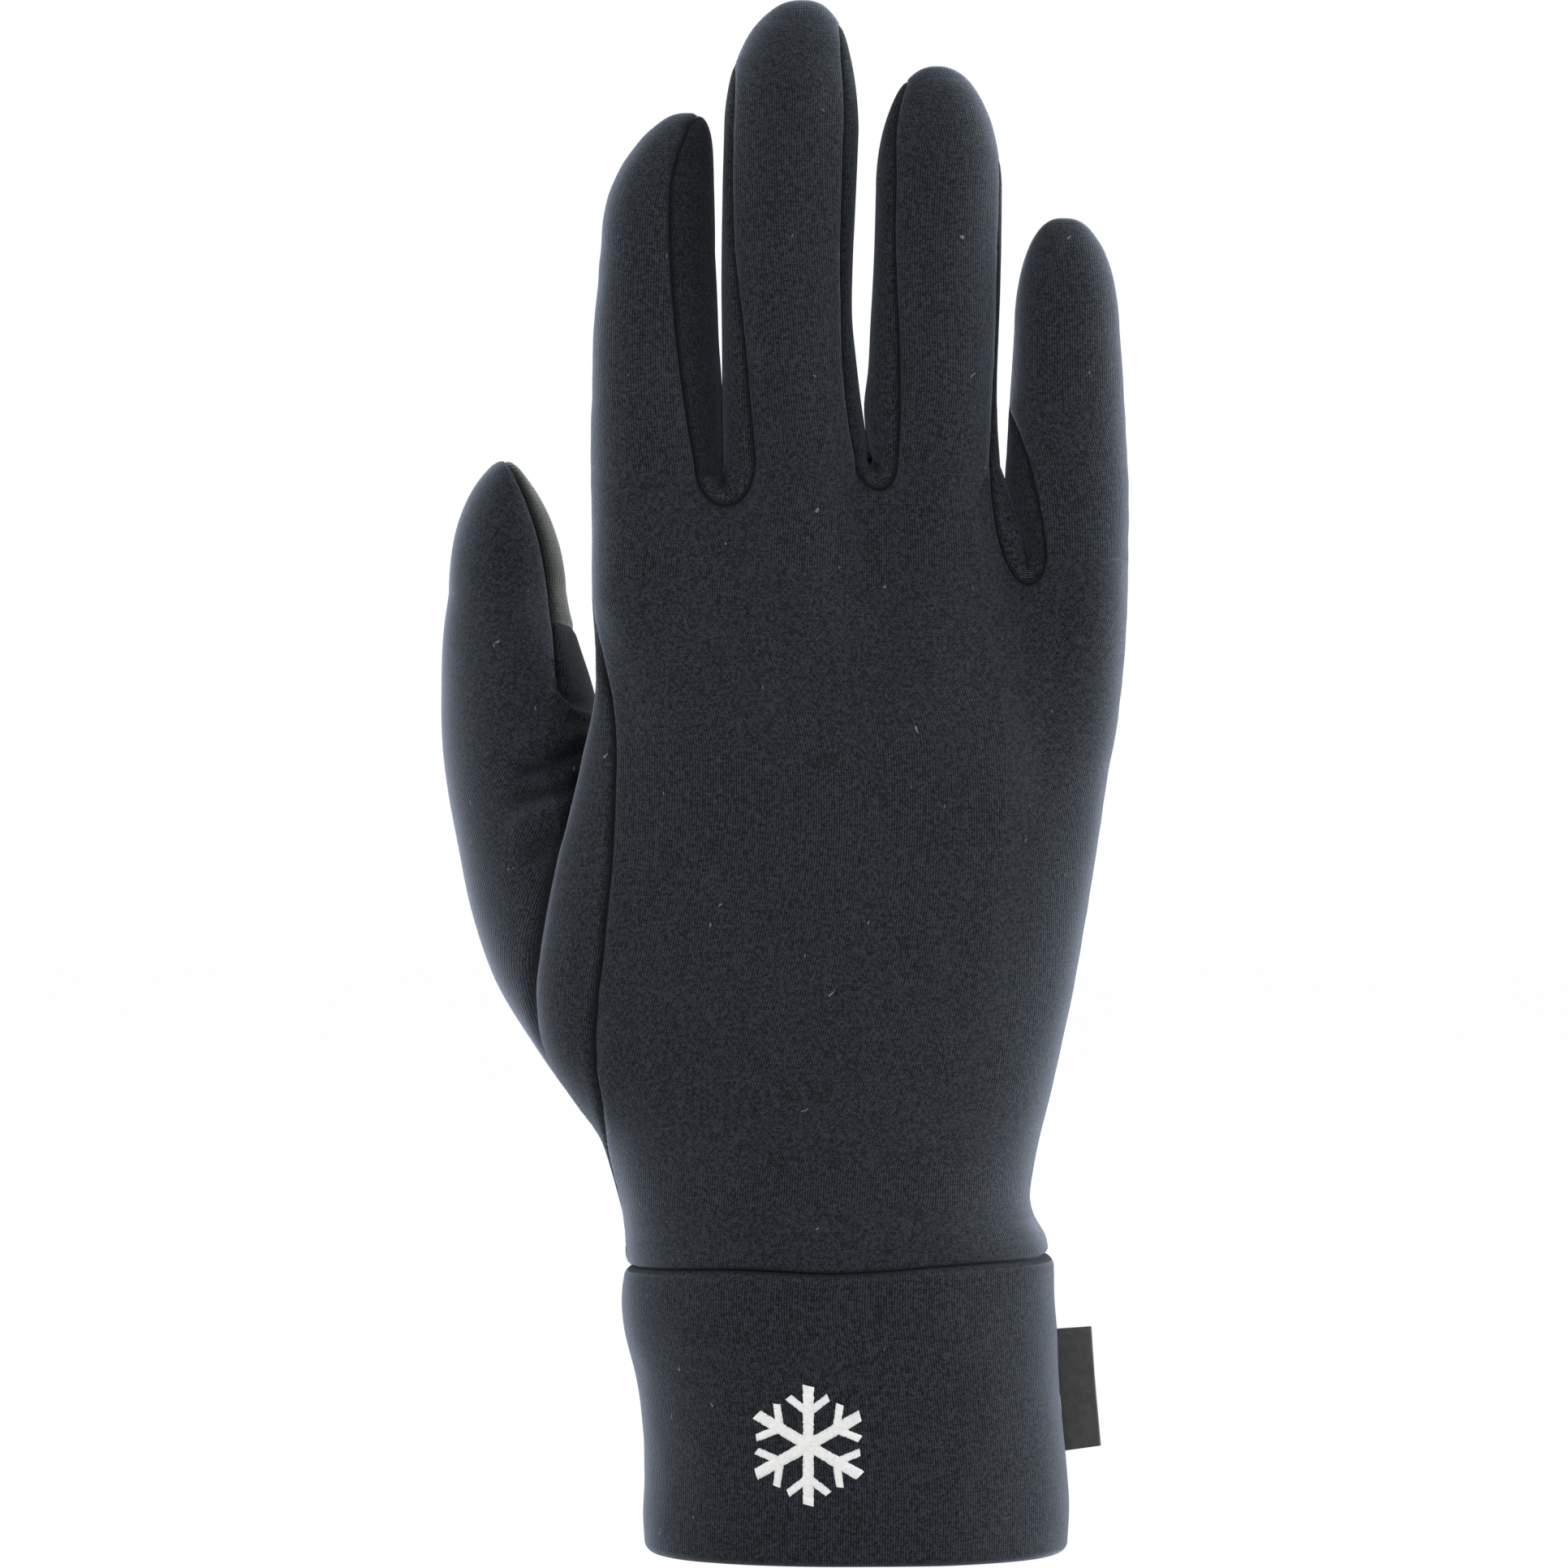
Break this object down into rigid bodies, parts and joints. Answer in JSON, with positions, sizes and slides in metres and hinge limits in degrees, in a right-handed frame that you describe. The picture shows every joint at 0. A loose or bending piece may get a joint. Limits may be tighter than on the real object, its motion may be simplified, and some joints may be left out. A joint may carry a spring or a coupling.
{
  "type": "touchscreen liner glove",
  "caption": "Right-hand knit fleece liner glove with fourchetted fingers, wrapped thumb, folded cuff band, side loop label and touch-sensitive fingertips.",
  "frame": {"origin": "centre of the wrist opening, on the plane of the cuff's folded rim", "axes": "+Z along the hand towards the fingertips, +Y out of the palm, so the back of the hand faces -Y; the thumb is at -X"},
  "size_m": [0.114, 0.0522, 0.2541],
  "materials": {
    "fleece": "dark charcoal fine-rib stretch knit with a brushed, slightly fuzzy face",
    "cuff_fleece": "the same charcoal knit, folded double",
    "conductive_knit": "charcoal knit with conductive yarn, a little smoother and closer than the rest",
    "woven_tape": "dark grey woven damask tape"
  },
  "bodies": {
    "cuff": {"cuff_band": "cuff_fleece"},
    "label": {"side_label": "woven_tape"},
    "hand": {"back_panel": "fleece", "palm_panel": "fleece", "index_middle_fourchette": "fleece", "middle_ring_fourchette": "fleece", "ring_little_fourchette": "fleece", "thumb_base": "fleece"},
    "index_lower": {"index_back_lower": "fleece", "index_palm_lower": "fleece", "index_ulnar_wall_lower": "fleece"},
    "index_tip": {"index_back_tip": "fleece", "index_palm_tip": "fleece", "index_ulnar_wall_tip": "fleece", "index_touch_pad": "conductive_knit"},
    "middle_lower": {"middle_back_lower": "fleece", "middle_palm_lower": "fleece", "middle_radial_wall_lower": "fleece", "middle_ulnar_wall_lower": "fleece"},
    "middle_tip": {"middle_back_tip": "fleece", "middle_palm_tip": "fleece", "middle_radial_wall_tip": "fleece", "middle_ulnar_wall_tip": "fleece"},
    "ring_lower": {"ring_back_lower": "fleece", "ring_palm_lower": "fleece", "ring_radial_wall_lower": "fleece", "ring_ulnar_wall_lower": "fleece"},
    "ring_tip": {"ring_back_tip": "fleece", "ring_palm_tip": "fleece", "ring_radial_wall_tip": "fleece", "ring_ulnar_wall_tip": "fleece"},
    "little_lower": {"little_back_lower": "fleece", "little_palm_lower": "fleece", "little_radial_wall_lower": "fleece"},
    "little_tip": {"little_back_tip": "fleece", "little_palm_tip": "fleece", "little_radial_wall_tip": "fleece"},
    "thumb": {"thumb_outer": "fleece", "thumb_inner": "fleece", "thumb_touch_pad": "conductive_knit"}
  },
  "joints": [
    {"name": "wrist_flex", "type": "hinge", "parent": "cuff", "child": "hand", "pos_m": [0, 0.0216, 0.0459], "axis": [-1, 0, 0], "range_deg": [0, 30], "stiffness_Nm_per_rad": 0.05},
    {"name": "index_base_bend", "type": "hinge", "parent": "hand", "child": "index_lower", "pos_m": [-0.0329, 0.0093, 0.1755], "axis": [-1, 0, 0], "range_deg": [0, 75], "stiffness_Nm_per_rad": 0.004},
    {"name": "index_middle_bend", "type": "hinge", "parent": "index_lower", "child": "index_tip", "pos_m": [-0.03268, 0.00933, 0.2029], "axis": [-1, 0, 0], "range_deg": [0, 85], "stiffness_Nm_per_rad": 0.002},
    {"name": "middle_base_bend", "type": "hinge", "parent": "hand", "child": "middle_lower", "pos_m": [-0.0107, 0.0096, 0.1775], "axis": [-1, 0, 0], "range_deg": [0, 75], "stiffness_Nm_per_rad": 0.004},
    {"name": "middle_middle_bend", "type": "hinge", "parent": "middle_lower", "child": "middle_tip", "pos_m": [-0.01081, 0.00982, 0.2089], "axis": [-1, 0, 0], "range_deg": [0, 85], "stiffness_Nm_per_rad": 0.002},
    {"name": "ring_base_bend", "type": "hinge", "parent": "hand", "child": "ring_lower", "pos_m": [0.0122, 0.0093, 0.1775], "axis": [-1, 0, 0], "range_deg": [0, 75], "stiffness_Nm_per_rad": 0.004},
    {"name": "ring_middle_bend", "type": "hinge", "parent": "ring_lower", "child": "ring_tip", "pos_m": [0.01299, 0.00939, 0.2049], "axis": [-1, 0, 0], "range_deg": [0, 85], "stiffness_Nm_per_rad": 0.002},
    {"name": "little_base_bend", "type": "hinge", "parent": "hand", "child": "little_lower", "pos_m": [0.0348, 0.0086, 0.1622], "axis": [-1, 0, 0], "range_deg": [0, 75], "stiffness_Nm_per_rad": 0.004},
    {"name": "little_middle_bend", "type": "hinge", "parent": "little_lower", "child": "little_tip", "pos_m": [0.03467, 0.00838, 0.1859], "axis": [-1, 0, 0], "range_deg": [0, 85], "stiffness_Nm_per_rad": 0.002},
    {"name": "thumb_bend", "type": "hinge", "parent": "hand", "child": "thumb", "pos_m": [-0.04601, 0.02112, 0.1435], "axis": [-0.3016, 0.9242, -0.2345], "range_deg": [0, 45], "stiffness_Nm_per_rad": 0.003},
    {"name": "label_flap", "type": "hinge", "parent": "cuff", "child": "label", "pos_m": [0.03365, 0, 0.0257], "axis": [-0.0551, 0, 0.9985], "range_deg": [-45, 45]}
  ]
}
